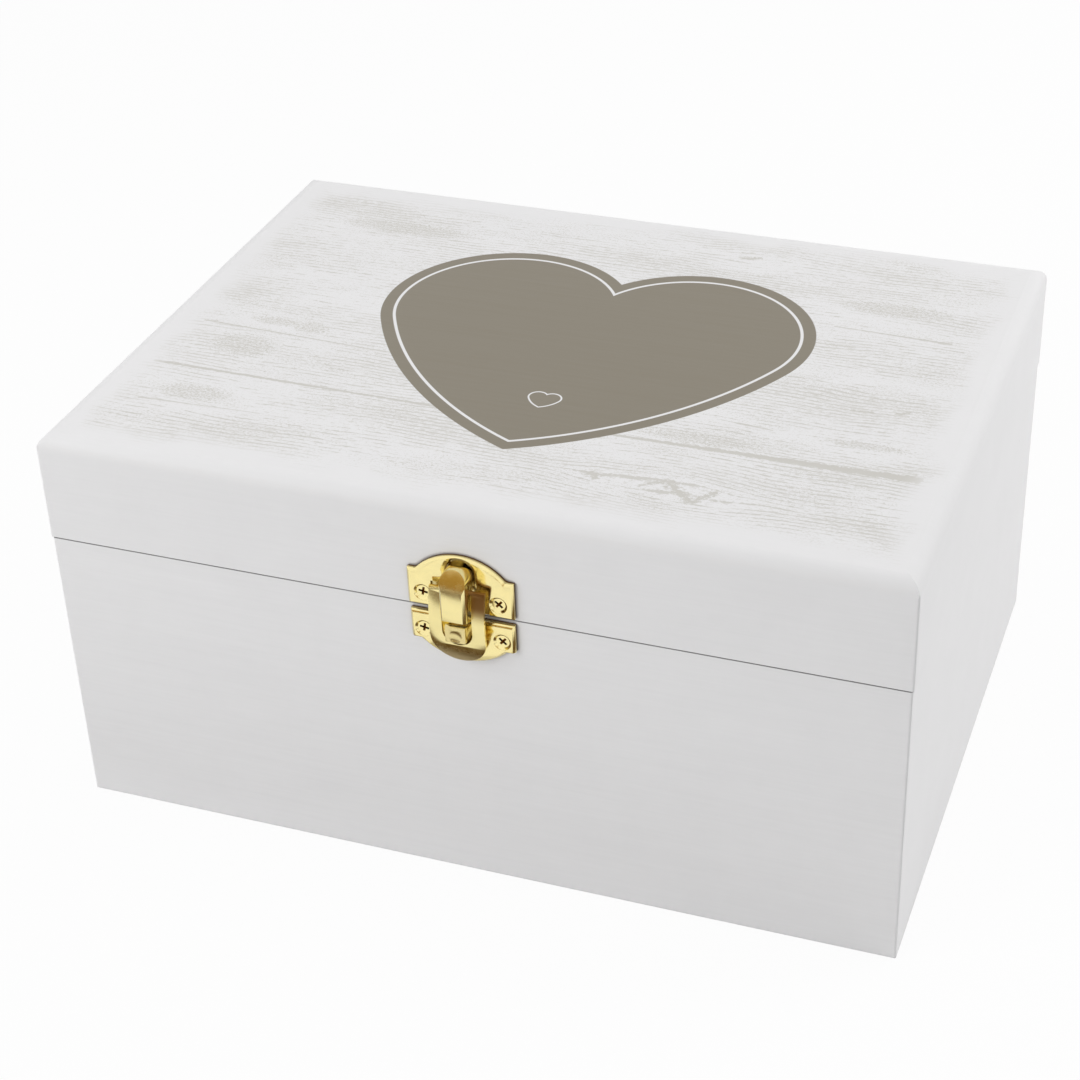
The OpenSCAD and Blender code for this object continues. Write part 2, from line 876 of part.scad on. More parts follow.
front_board();
back_board();
left_board();
right_board();
bottom_panel();
lid_front_rail();
lid_back_rail();
lid_left_rail();
lid_right_rail();
lid_top_board();
latch_upper_plate();
latch_lower_plate();
latch_lever();
latch_ring();
lever_pin();
upper_latch_screws();
lower_latch_screws();
hinge_left_base_leaf();
hinge_left_lid_leaf();
hinge_left_pin();
hinge_right_base_leaf();
hinge_right_lid_leaf();
hinge_right_pin();
hinge_base_screws();
hinge_lid_screws();
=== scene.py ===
import json
import math

import bpy
from mathutils import Matrix, Vector


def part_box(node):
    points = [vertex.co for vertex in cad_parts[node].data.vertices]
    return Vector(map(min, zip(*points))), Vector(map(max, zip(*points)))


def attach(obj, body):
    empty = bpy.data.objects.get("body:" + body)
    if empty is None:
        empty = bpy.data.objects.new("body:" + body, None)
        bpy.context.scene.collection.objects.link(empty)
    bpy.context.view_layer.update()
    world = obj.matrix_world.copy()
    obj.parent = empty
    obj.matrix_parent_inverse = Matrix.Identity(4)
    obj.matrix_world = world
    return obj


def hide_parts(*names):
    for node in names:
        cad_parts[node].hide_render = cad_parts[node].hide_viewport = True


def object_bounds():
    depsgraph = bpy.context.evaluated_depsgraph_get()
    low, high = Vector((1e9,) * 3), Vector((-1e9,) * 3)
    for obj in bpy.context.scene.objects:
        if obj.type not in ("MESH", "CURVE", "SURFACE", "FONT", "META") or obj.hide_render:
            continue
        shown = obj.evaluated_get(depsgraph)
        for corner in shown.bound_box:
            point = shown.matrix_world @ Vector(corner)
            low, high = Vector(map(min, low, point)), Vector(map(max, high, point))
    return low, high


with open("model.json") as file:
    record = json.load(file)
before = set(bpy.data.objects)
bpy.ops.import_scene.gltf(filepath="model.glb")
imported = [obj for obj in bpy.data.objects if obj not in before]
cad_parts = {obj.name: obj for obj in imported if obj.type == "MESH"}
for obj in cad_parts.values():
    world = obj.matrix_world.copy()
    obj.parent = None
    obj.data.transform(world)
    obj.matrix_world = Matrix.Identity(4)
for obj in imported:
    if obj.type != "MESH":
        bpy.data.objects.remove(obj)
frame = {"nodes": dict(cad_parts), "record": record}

bl_info = {
    "name": "Keepsake box",
    "version": (1, 0, 0),
    "blender": (4, 5, 0),
    "location": "View3D > Sidebar > Keepsake box",
    "description": "Painted wooden keepsake box with a printed lid and a brass toggle latch",
    "category": "Object",
}

CAD_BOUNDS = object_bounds()
NODES = frame["nodes"]
BODY_OF = {node: body for body, nodes in frame["record"]["behaviour"]["bodies"].items() for node in nodes}
MM = 0.001

LID_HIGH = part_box("lid_top_board")[1]
SEAM_Z = (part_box("front_board")[1].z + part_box("lid_front_rail")[0].z) / 2


# ---------- sizes and colours a user would change ----------


class PaintSettings(bpy.types.PropertyGroup):
    """Colours of the paint and of the print on the lid"""

    paint: bpy.props.FloatVectorProperty(
        name="Paint", description="White paint on the wood", subtype="COLOR", size=3,
        default=(0.84, 0.835, 0.84), min=0.0, max=1.0)
    ink: bpy.props.FloatVectorProperty(
        name="Grain ink", description="Ink of the weathered wood print", subtype="COLOR", size=3,
        default=(0.62, 0.605, 0.568), min=0.0, max=1.0)
    heart: bpy.props.FloatVectorProperty(
        name="Heart", description="Ink of the large heart", subtype="COLOR", size=3,
        default=(0.236, 0.210, 0.163), min=0.0, max=1.0)
    plywood: bpy.props.FloatVectorProperty(
        name="Plywood", description="Bare wood of the bottom panel", subtype="COLOR", size=3,
        default=(0.60, 0.44, 0.27), min=0.0, max=1.0)
    print_fade: bpy.props.FloatProperty(
        name="Print fade", description="Width over which the print fades at the lid's edges",
        default=20 * MM, min=1 * MM, max=60 * MM, unit="LENGTH")


class BrassSettings(bpy.types.PropertyGroup):
    """Colour and edges of the brass hardware"""

    tone: bpy.props.FloatVectorProperty(
        name="Brass", description="Colour of the polished brass", subtype="COLOR", size=3,
        default=(0.96, 0.83, 0.40), min=0.0, max=1.0)
    roughness: bpy.props.FloatProperty(
        name="Roughness", description="Roughness of the polished brass", subtype="FACTOR",
        default=0.16, min=0.0, max=1.0)
    edge: bpy.props.FloatProperty(
        name="Edge radius", description="Rounding on the pressed edges",
        default=0.16 * MM, min=0.0, max=0.4 * MM, unit="LENGTH")


class StageSettings(bpy.types.PropertyGroup):
    """Floor and lamps round the box"""

    floor: bpy.props.FloatVectorProperty(
        name="Floor", description="Colour of the floor", subtype="COLOR", size=3,
        default=(0.80, 0.80, 0.80), min=0.0, max=1.0)
    key: bpy.props.FloatProperty(
        name="Key lamp", description="Power of the lamp at the front left", unit="POWER",
        default=8.4, min=0.0)
    side: bpy.props.FloatProperty(
        name="Side lamp", description="Power of the lamp behind on the right", unit="POWER",
        default=9.5, min=0.0)
    over: bpy.props.FloatProperty(
        name="Top lamp", description="Power of the lamp above", unit="POWER",
        default=6.25, min=0.0)
    corner: bpy.props.FloatProperty(
        name="Corner lamp", description="Power of the lamp at the front right", unit="POWER",
        default=1.0, min=0.0)
    fill: bpy.props.FloatProperty(
        name="Fill", description="Strength of the even light from all sides",
        default=0.3, min=0.0, max=1.0)


# ---------- helpers for node trees ----------


class Wiring:
    """Adds nodes to one tree and joins them"""

    def __init__(self, tree):
        self.tree = tree

    def add(self, kind, inputs=None, **settings):
        made = self.tree.nodes.new(kind)
        for name, value in settings.items():
            setattr(made, name, value)
        for name, value in (inputs or {}).items():
            self.feed(made.inputs[name], value)
        return made

    def feed(self, socket, value):
        if isinstance(value, bpy.types.NodeSocket):
            self.tree.links.new(value, socket)
        else:
            socket.default_value = value

    def math(self, operation, *values, clamp=False):
        made = self.tree.nodes.new("ShaderNodeMath")
        made.operation = operation
        made.use_clamp = clamp
        for socket, value in zip(made.inputs, values):
            self.feed(socket, value)
        return made.outputs[0]

    def ramp(self, value, low, high, to_low=0.0, to_high=1.0, smooth=True):
        made = self.add(
            "ShaderNodeMapRange",
            {"Value": value, "From Min": low, "From Max": high, "To Min": to_low, "To Max": to_high},
            interpolation_type="SMOOTHSTEP" if smooth else "LINEAR")
        return made.outputs["Result"]

    def noise(self, vector, scale, detail=3.0, roughness=0.5, distortion=0.0):
        made = self.add(
            "ShaderNodeTexNoise",
            {"Vector": vector, "Scale": scale, "Detail": detail, "Roughness": roughness,
             "Distortion": distortion})
        return made.outputs["Fac"]

    def stretch(self, vector, factors, offset=(0.0, 0.0, 0.0)):
        made = self.add(
            "ShaderNodeMapping", {"Vector": vector, "Scale": factors, "Location": offset})
        return made.outputs["Vector"]

    def mix_colour(self, factor, first, second, blend="MIX"):
        made = self.add("ShaderNodeMix", data_type="RGBA", blend_type=blend)
        self.feed(made.inputs[0], factor)
        self.feed(made.inputs[6], first)
        self.feed(made.inputs[7], second)
        return made.outputs[2]


def new_group(name, inputs, outputs):
    """A shader node group with named sockets: returns its wiring, input node and output node"""
    group = bpy.data.node_groups.new(name, "ShaderNodeTree")
    for label, kind, default in inputs:
        socket = group.interface.new_socket(name=label, in_out="INPUT", socket_type=kind)
        if default is not None:
            socket.default_value = default
    for label, kind in outputs:
        group.interface.new_socket(name=label, in_out="OUTPUT", socket_type=kind)
    wiring = Wiring(group)
    return wiring, wiring.add("NodeGroupInput"), wiring.add("NodeGroupOutput")


def place_group(wiring, name, inputs):
    made = wiring.add("ShaderNodeGroup", node_tree=bpy.data.node_groups[name])
    for label, value in inputs.items():
        wiring.feed(made.inputs[label], value)
    return made


def rgba(colour):
    return (*colour, 1.0)


def new_material(name):
    """A material with an empty Principled shader: returns it, its wiring and the shader"""
    material = bpy.data.materials.new(name)
    material.use_nodes = True
    wiring = Wiring(material.node_tree)
    shader = next(n for n in material.node_tree.nodes if n.type == "BSDF_PRINCIPLED")
    return material, wiring, shader


def object_coordinates(wiring):
    return wiring.add("ShaderNodeTexCoord").outputs["Object"]


def upward(wiring):
    """How far the surface faces up when the box is shut: 1 up, 0 upright, -1 down"""
    normal = wiring.add("ShaderNodeTexCoord").outputs["Normal"]
    return wiring.add("ShaderNodeSeparateXYZ", {"Vector": normal}).outputs["Z"]


def crevice(wiring, reach):
    """1 in the open, falling towards 0 where a surface lies close to another"""
    return wiring.add("ShaderNodeAmbientOcclusion", {"Distance": reach}).outputs["AO"]


# ---------- shared effects ----------


def build_brushed_paint_group():
    """Faint brush streaks along X of its vector, soft mottling and a few pinholes"""
    wiring, source, result = new_group(
        "Brushed paint",
        [("Vector", "NodeSocketVector", None),
         ("Colour", "NodeSocketColor", (0.8, 0.8, 0.8, 1.0)),
         ("Streaks", "NodeSocketFloat", 0.03),
         ("Mottle", "NodeSocketFloat", 0.03)],
        [("Colour", "NodeSocketColor"), ("Roughness", "NodeSocketFloat"), ("Height", "NodeSocketFloat")])
    vector = source.outputs["Vector"]
    streak = wiring.noise(wiring.stretch(vector, (14.0, 600.0, 600.0)), 1.0, 4.0, 0.6)
    weave = wiring.noise(wiring.stretch(vector, (90.0, 1500.0, 1500.0)), 1.0, 2.0)
    mottle = wiring.noise(vector, 55.0, 4.0, 0.6)
    cloud = wiring.noise(wiring.stretch(vector, (5.0, 16.0, 16.0)), 1.0, 2.0)
    fine = wiring.math("MULTIPLY_ADD", weave, 0.5, streak)
    fine = wiring.math("SUBTRACT", fine, 0.75)
    broad = wiring.math("SUBTRACT", wiring.math("MULTIPLY_ADD", cloud, 0.6, mottle), 0.8)
    shade = wiring.math("MULTIPLY_ADD", fine, source.outputs["Streaks"], 1.0)
    shade = wiring.math("MULTIPLY_ADD", broad, source.outputs["Mottle"], shade)
    pores = wiring.add("ShaderNodeTexVoronoi", {"Vector": vector, "Scale": 26.0}, feature="F1")
    pinhole = wiring.ramp(pores.outputs["Distance"], 0.006, 0.014)
    shade = wiring.math("MULTIPLY", shade, wiring.ramp(pinhole, 0.0, 1.0, 0.78, 1.0, smooth=False))
    grey = wiring.add("ShaderNodeCombineColor", {"Red": shade, "Green": shade, "Blue": shade})
    colour = wiring.mix_colour(1.0, source.outputs["Colour"], grey.outputs[0], "MULTIPLY")
    wiring.feed(result.inputs["Colour"], colour)
    wiring.feed(result.inputs["Roughness"], wiring.math("MULTIPLY_ADD", fine, 0.25, 0.46))
    wiring.feed(result.inputs["Height"], wiring.math("MULTIPLY_ADD", mottle, 0.5, fine))


def half_heart_distance(wiring, vector, centre, scale):
    """Distance outside (above zero) or inside (below zero) a heart of two arcs a side, in metres.
    Each lobe is one circle; a larger circle, tangent to it, runs down to the tip."""
    lobe = Vector((34.4, 21.8)) * MM * scale
    lobe_r = 45.5 * MM * scale
    tip = Vector((0.0, -72.2)) * MM * scale
    side_r = 155.4 * MM * scale
    reach = side_r - lobe_r
    span = (tip - lobe).length
    turn = math.acos((span ** 2 + reach ** 2 - side_r ** 2) / (2 * span * reach))
    heading = math.atan2(tip.y - lobe.y, tip.x - lobe.x) - turn
    far = lobe + reach * Vector((math.cos(heading), math.sin(heading)))
    away = (far - lobe).normalized()

    parts = wiring.add("ShaderNodeSeparateXYZ", {"Vector": vector})
    x = wiring.math("ABSOLUTE", wiring.math("SUBTRACT", parts.outputs["X"], centre[0]))
    y = wiring.math("SUBTRACT", parts.outputs["Y"], centre[1])

    def circle_distance(point, radius):
        dx = wiring.math("SUBTRACT", x, point.x)
        dy = wiring.math("SUBTRACT", y, point.y)
        square = wiring.math("MULTIPLY_ADD", dx, dx, wiring.math("MULTIPLY", dy, dy))
        return wiring.math("SUBTRACT", wiring.math("SQRT", square), radius)

    across = wiring.math("SUBTRACT",
        wiring.math("MULTIPLY", wiring.math("SUBTRACT", x, lobe.x), away.y),
        wiring.math("MULTIPLY", wiring.math("SUBTRACT", y, lobe.y), away.x))
    on_side = wiring.math("GREATER_THAN", across, 0.0)
    lobe_distance = circle_distance(lobe, lobe_r)
    side_distance = circle_distance(far, side_r)
    change = wiring.math("SUBTRACT", side_distance, lobe_distance)
    flipped = wiring.math("SUBTRACT", 1.0, on_side)
    return wiring.math("MULTIPLY_ADD", change, flipped, lobe_distance)


def build_heart_group():
    """Masks of the large heart, of the white line inside it and of the small outlined heart"""
    wiring, source, result = new_group(
        "Heart print",
        [("Vector", "NodeSocketVector", None)],
        [("Heart", "NodeSocketFloat"), ("Line", "NodeSocketFloat")])
    vector = source.outputs["Vector"]
    edge = 0.12 * MM
    big = half_heart_distance(wiring, vector, (3.0 * MM, 0.0), 1.0)
    heart = wiring.ramp(big, -edge, edge, 1.0, 0.0)

    def outline(distance, inset, width):
        off = wiring.math("ABSOLUTE", wiring.math("ADD", distance, inset))
        return wiring.ramp(off, width / 2 - edge, width / 2 + edge, 1.0, 0.0)

    line = outline(big, 5.0 * MM, 1.1 * MM)
    small = half_heart_distance(wiring, vector, (4.6 * MM, -37.5 * MM), 0.072)
    line = wiring.math("MAXIMUM", line, outline(small, 0.0, 0.6 * MM))
    wiring.feed(result.inputs["Heart"], heart)
    wiring.feed(result.inputs["Line"], line)


# Seams between the printed planks and long cracks, in mm: both ends and the half width at each
PRINT_SEAMS = (
    ((-136.0, -50.4, 0.75), (12.0, -52.9, 0.6)),
    ((28.0, -52.9, 0.6), (136.0, -52.2, 2.0)),
    ((-133.0, -17.6, 0.5), (-52.0, -21.6, 0.3)),
    ((-129.0, -75.6, 0.4), (-84.0, -73.8, 0.2)),
    ((72.0, -33.8, 0.6), (84.0, -35.0, 0.3)),
    ((86.0, 42.0, 0.35), (128.0, 40.5, 0.6)),
)
# Dark strokes of the knots, in mm
PRINT_KNOTS = (
    ((61.5, -76.8, 1.9), (70.5, -85.0, 1.6)),
    ((52.5, -81.0, 0.5), (60.0, -75.5, 1.1)),
    ((71.5, -85.6, 1.2), (77.0, -78.0, 1.3)),
    ((34.5, -78.0, 1.5), (37.5, -79.5, 1.5)),
    ((38.0, -80.0, 0.4), (42.0, -76.5, 0.4)),
    ((106.5, -14.6, 0.9), (112.5, -14.2, 0.6)),
    ((121.0, -13.0, 1.0), (125.0, -10.5, 0.5)),
    ((40.0, 85.5, 1.2), (46.0, 87.0, 0.8)),
)
# Where grain lines swell round a knot, in mm
PRINT_SWELLS = (((65.0, -80.0), 20.0, 11.0), ((36.0, -78.5), 12.0, 7.0), ((43.0, 86.0), 16.0, 9.0))
# Worn patches of the print, in mm: (x, y), half length, half width
PRINT_PATCHES = (
    ((-107.0, -11.0), 11.0, 3.4),
    ((-93.0, -12.5), 8.0, 4.6),
    ((-111.0, -31.0), 14.0, 9.0),
    ((64.0, -47.2), 25.0, 4.4),
    ((116.0, -36.0), 16.0, 2.6),
    ((-92.0, 74.0), 30.0, 6.0),
    ((104.0, 60.0), 24.0, 6.0),
    ((-112.0, -67.0), 16.0, 6.0),
)


def stroke(wiring, x, y, ragged, start, end, soft=0.35):
    """Mask of a line with ragged sides, in mm: each end is x, y and half width"""
    (x0, y0, half0), (x1, y1, half1) = start, end
    run, rise = x1 - x0, y1 - y0
    square = run * run + rise * rise
    dx = wiring.math("SUBTRACT", x, x0)
    dy = wiring.math("SUBTRACT", y, y0)
    along = wiring.math(
        "MULTIPLY_ADD", dx, run / square, wiring.math("MULTIPLY", dy, rise / square), clamp=True)
    off_x = wiring.math("MULTIPLY_ADD", along, -run, dx)
    off_y = wiring.math("MULTIPLY_ADD", along, -rise, dy)
    off = wiring.math("SQRT",
        wiring.math("MULTIPLY_ADD", off_x, off_x, wiring.math("MULTIPLY", off_y, off_y)))
    half = wiring.math("MULTIPLY_ADD", along, half1 - half0, half0)
    half = wiring.math("MULTIPLY", half, ragged)
    return wiring.ramp(wiring.math("SUBTRACT", half, off), -soft / 2, soft)


def closeness(wiring, x, y, place, half_long, half_wide):
    """1 in the middle of an oval, one half on its outline and 0 well outside it"""
    dx = wiring.math("DIVIDE", wiring.math("SUBTRACT", x, place[0]), half_long)
    dy = wiring.math("DIVIDE", wiring.math("SUBTRACT", y, place[1]), half_wide)
    square = wiring.math("MULTIPLY_ADD", dx, dx, wiring.math("MULTIPLY", dy, dy))
    return wiring.math("DIVIDE", 1.0, wiring.math("MULTIPLY_ADD", square, square, 1.0))


def build_weathered_print_group():
    """Ink of a print that looks like old painted planks: broken grain lines, speckles, worn patches,
    seams and knots. It works in millimetres."""
    wiring, source, result = new_group(
        "Weathered print",
        [("Vector", "NodeSocketVector", None)],
        [("Ink", "NodeSocketFloat")])
    scaled = wiring.stretch(source.outputs["Vector"], (1000.0, 1000.0, 0.0))
    parts = wiring.add("ShaderNodeSeparateXYZ", {"Vector": scaled})
    x, y = parts.outputs["X"], parts.outputs["Y"]
    coarse = wiring.noise(wiring.stretch(scaled, (0.5, 1.2, 1.0)), 1.0, 3.0, 0.7)
    ragged = wiring.ramp(coarse, 0.3, 0.65, 0.55, 1.35)
    flakes = wiring.noise(wiring.stretch(scaled, (0.6, 0.9, 1.0)), 1.0, 4.0, 0.8)
    torn = wiring.ramp(flakes, 0.38, 0.62, 0.2, 1.7)

    # Grain wavers along the planks and swells round each knot
    waver = wiring.noise(wiring.stretch(scaled, (0.013, 0.03, 1.0)), 1.0, 3.0)
    bent_y = wiring.math("MULTIPLY_ADD", waver, 10.0, y)
    for place, half_long, half_wide in PRINT_SWELLS:
        near = closeness(wiring, x, y, place, half_long, half_wide)
        push = wiring.math("MULTIPLY", wiring.math("SUBTRACT", y, place[1]), near)
        bent_y = wiring.math("MULTIPLY_ADD", push, -0.6, bent_y)

    # Some stretches of the planks took the print better than others
    taken = wiring.noise(wiring.stretch(scaled, (0.014, 0.05, 1.0), (9.0, 2.0, 0.0)), 1.0, 2.0)

    # Broken grain lines, each with its own dashes
    steps = wiring.math("MULTIPLY_ADD", coarse, 0.5, wiring.math("DIVIDE", bent_y, 2.1))
    row = wiring.math("FLOOR", steps)
    off_line = wiring.math("ABSOLUTE", wiring.math("SUBTRACT", wiring.math("FRACT", steps), 0.5))
    row_place = wiring.add("ShaderNodeCombineXYZ", {
        "X": wiring.math("MULTIPLY", x, 0.09), "Y": wiring.math("MULTIPLY", row, 3.7)}).outputs[0]
    dashes = wiring.math("MULTIPLY_ADD", taken, 0.60, wiring.noise(row_place, 1.0, 5.0, 0.7))
    line_half = wiring.ramp(dashes, 0.66, 0.95, 0.0, 0.17)
    lines = wiring.ramp(wiring.math("SUBTRACT", line_half, off_line), -0.02, 0.05, 0.0, 0.9)

    # Finer grain between them
    bent = wiring.add("ShaderNodeCombineXYZ", {"X": x, "Y": bent_y}).outputs[0]
    fibres = wiring.noise(wiring.stretch(bent, (0.32, 1.5, 1.0)), 1.0, 4.0, 0.8)
    fibres = wiring.ramp(wiring.math("MULTIPLY_ADD", taken, 0.35, fibres), 0.73, 0.78, 0.0, 0.6)

    # Speckles and flakes gather in worn patches
    worn = wiring.noise(wiring.stretch(scaled, (0.02, 0.07, 1.0), (3.1, 5.7, 0.0)), 1.0, 3.0, 0.6)
    worn = wiring.ramp(worn, 0.40, 0.68, 0.10, 0.60)
    for place, half_long, half_wide in PRINT_PATCHES:
        near = closeness(wiring, x, y, place, half_long, half_wide)
        near = wiring.ramp(wiring.math("MULTIPLY_ADD", coarse, 1.6, near), 1.05, 1.75)
        worn = wiring.math("MAXIMUM", worn, near)
    speckles = wiring.noise(wiring.stretch(scaled, (0.95, 1.5, 1.0)), 1.0, 5.0, 0.9)
    speckles = wiring.ramp(wiring.math("MULTIPLY_ADD", worn, 0.105, speckles), 0.59, 0.615)

    ink = wiring.math("MAXIMUM", lines, wiring.math("MAXIMUM", fibres, speckles))
    for sides, strokes in ((ragged, PRINT_SEAMS), (torn, PRINT_KNOTS)):
        for start, end in strokes:
            ink = wiring.math("MAXIMUM", ink, stroke(wiring, x, y, sides, start, end))
    wiring.feed(result.inputs["Ink"], ink)


def build_brass_group():
    """Polished brass: slight clouding, fine rolling marks, and painted shade and dark reflections in brown as
    far as its Darkening input says
    """
    wiring, source, result = new_group(
        "Polished brass",
        [("Vector", "NodeSocketVector", None),
         ("Colour", "NodeSocketColor", (0.8, 0.6, 0.2, 1.0)),
         ("Roughness", "NodeSocketFloat", 0.16),
         ("Darkening", "NodeSocketFloat", 0.0)],
        [("Colour", "NodeSocketColor"), ("Roughness", "NodeSocketFloat"), ("Height", "NodeSocketFloat")])
    vector = source.outputs["Vector"]
    cloud = wiring.noise(vector, 240.0, 3.0)
    marks = wiring.noise(wiring.stretch(vector, (700.0, 3000.0, 7000.0)), 1.0, 2.0)
    shade = wiring.math("MULTIPLY_ADD", cloud, 0.24, 0.88)
    grey = wiring.add("ShaderNodeCombineColor", {"Red": shade, "Green": shade, "Blue": shade})
    clean = wiring.mix_colour(1.0, source.outputs["Colour"], grey.outputs[0], "MULTIPLY")
    # Painted shade and dark reflections: the brass turns brown as far as Darkening says
    painted_dark = wiring.mix_colour(1.0, clean, (0.20, 0.08, 0.02, 1.0), "MULTIPLY")
    wiring.feed(result.inputs["Colour"], wiring.mix_colour(source.outputs["Darkening"], clean, painted_dark))
    rough = wiring.math("MULTIPLY", source.outputs["Roughness"], wiring.ramp(cloud, 0.3, 0.7, 0.8, 1.3))
    rough = wiring.math("MULTIPLY_ADD", source.outputs["Darkening"], 0.25, rough)
    wiring.feed(result.inputs["Roughness"], rough)
    wiring.feed(result.inputs["Height"], marks)


# ---------- materials ----------


def paint_material(name, brush_axis, settings, seam_shade_tone):
    """White paint brushed along one axis of the box, with a painted shade line where lid and base meet and
    painted shade where it lies close to other pieces
    """
    material, wiring, shader = new_material(name)
    vector = object_coordinates(wiring)
    turn = (0.0, 0.0, math.radians(90) if brush_axis == "Y" else 0.0)
    brushed = wiring.add("ShaderNodeMapping", {"Vector": vector, "Rotation": turn}).outputs["Vector"]
    paint = place_group(wiring, "Brushed paint", {
        "Vector": brushed, "Colour": rgba(settings.paint), "Streaks": 0.05, "Mottle": 0.05})
    height = wiring.add("ShaderNodeSeparateXYZ", {"Vector": vector}).outputs["Z"]
    # Painted shade: a dark line along the seam between lid and base, left off faces that look up or down
    off_seam = wiring.math("ABSOLUTE", wiring.math("SUBTRACT", height, SEAM_Z))
    kept = wiring.ramp(off_seam, 0.1 * MM, 0.5 * MM, seam_shade_tone, 1.0)
    level = wiring.math("ABSOLUTE", upward(wiring))
    kept = wiring.math("MAXIMUM", kept, wiring.ramp(level, 0.8, 0.95))
    # Painted shade where the paint lies close to another piece
    kept = wiring.math("MULTIPLY", kept, wiring.ramp(crevice(wiring, 1.6 * MM), 0.45, 0.9, 0.35, 1.0))
    tone = wiring.add("ShaderNodeCombineColor", {"Red": kept, "Green": kept, "Blue": kept})
    wiring.feed(shader.inputs["Base Color"],
        wiring.mix_colour(1.0, paint.outputs["Colour"], tone.outputs[0], "MULTIPLY"))
    wiring.feed(shader.inputs["Roughness"], paint.outputs["Roughness"])
    bump = wiring.add("ShaderNodeBump", {
        "Strength": 0.25, "Distance": 0.05 * MM, "Height": paint.outputs["Height"]})
    wiring.feed(shader.inputs["Normal"], bump.outputs["Normal"])
    shader.inputs["Specular IOR Level"].default_value = 0.35
    return material


def printed_lid_material(settings):
    """The lid's paint with the weathered wood print and the hearts"""
    material, wiring, shader = new_material("Printed lid")
    vector = object_coordinates(wiring)
    paint = place_group(wiring, "Brushed paint", {
        "Vector": vector, "Colour": rgba(settings.paint), "Streaks": 0.03, "Mottle": 0.03})
    parts = wiring.add("ShaderNodeSeparateXYZ", {"Vector": vector})
    on_top = wiring.ramp(parts.outputs["Z"], LID_HIGH.z - 0.4 * MM, LID_HIGH.z - 0.1 * MM)
    fade = settings.print_fade
    inset_x = wiring.math("SUBTRACT", LID_HIGH.x, wiring.math("ABSOLUTE", parts.outputs["X"]))
    inset_y = wiring.math("SUBTRACT", LID_HIGH.y, wiring.math("ABSOLUTE", parts.outputs["Y"]))
    ragged = wiring.noise(vector, 45.0, 4.0)
    inset = wiring.math("MULTIPLY_ADD", wiring.math("SUBTRACT", ragged, 0.5), 22 * MM,
        wiring.math("MINIMUM", inset_x, inset_y))
    kept = wiring.ramp(inset, 0.35 * fade, fade)
    grain = place_group(wiring, "Weathered print", {"Vector": vector})
    ink = wiring.math("MULTIPLY", wiring.math("MULTIPLY", grain.outputs["Ink"], kept), on_top)
    colour = wiring.mix_colour(ink, paint.outputs["Colour"], rgba(settings.ink))
    hearts = place_group(wiring, "Heart print", {"Vector": vector})
    heart = wiring.math("MULTIPLY", hearts.outputs["Heart"], on_top)
    colour = wiring.mix_colour(heart, colour, rgba(settings.heart))
    line = wiring.math("MULTIPLY", hearts.outputs["Line"], heart)
    colour = wiring.mix_colour(line, colour, rgba(settings.paint))
    wiring.feed(shader.inputs["Base Color"], colour)
    wiring.feed(shader.inputs["Roughness"], paint.outputs["Roughness"])
    bump = wiring.add("ShaderNodeBump", {
        "Strength": 0.2, "Distance": 0.04 * MM, "Height": paint.outputs["Height"]})
    wiring.feed(shader.inputs["Normal"], bump.outputs["Normal"])
    shader.inputs["Specular IOR Level"].default_value = 0.35
    return material


def plywood_material(settings):
    """Bare plywood with long grain"""
    material, wiring, shader = new_material("Bare plywood")
    vector = object_coordinates(wiring)
    grain = wiring.noise(wiring.stretch(vector, (8.0, 260.0, 260.0)), 1.0, 5.0, 0.65, 0.4)
    pores = wiring.noise(wiring.stretch(vector, (60.0, 1400.0, 1400.0)), 1.0, 2.0)
    dark = rgba([c * 0.72 for c in settings.plywood])
    colour = wiring.mix_colour(wiring.ramp(grain, 0.35, 0.7), rgba(settings.plywood), dark)
    wiring.feed(shader.inputs["Base Color"], colour)
    wiring.feed(shader.inputs["Roughness"], wiring.ramp(pores, 0.0, 1.0, 0.55, 0.75, smooth=False))
    bump = wiring.add("ShaderNodeBump", {"Strength": 0.3, "Distance": 0.08 * MM, "Height": grain})
    wiring.feed(shader.inputs["Normal"], bump.outputs["Normal"])
    return material


def brass_material(name, settings, darkening=None, roughness_factor=1.0, tone_factor=1.0, brushed=0.08):
    """Brass, with painted shade in its crevices and darker where darkening says, which takes the wiring and
    the coordinates and gives a mask. The masks were placed one by one, as painted shade and dark reflections.
    They aren't wear or soiling of the real brass."""
    material, wiring, shader = new_material(name)
    vector = object_coordinates(wiring)
    # Painted shade where the brass lies close to another surface
    dark = wiring.ramp(crevice(wiring, 2.0 * MM), 0.2, 0.75, 0.85, 0.0)
    if darkening:
        dark = wiring.math("MAXIMUM", dark, darkening(wiring, vector))
    brass = place_group(wiring, "Polished brass", {
        "Vector": vector,
        "Colour": rgba([channel * tone_factor for channel in settings.tone]),
        "Roughness": settings.roughness * roughness_factor,
        "Darkening": dark})
    wiring.feed(shader.inputs["Base Color"], brass.outputs["Colour"])
    wiring.feed(shader.inputs["Roughness"], brass.outputs["Roughness"])
    bump = wiring.add("ShaderNodeBump", {
        "Strength": brushed, "Distance": 0.02 * MM, "Height": brass.outputs["Height"]})
    wiring.feed(shader.inputs["Normal"], bump.outputs["Normal"])
    shader.inputs["Metallic"].default_value = 1.0
    return material


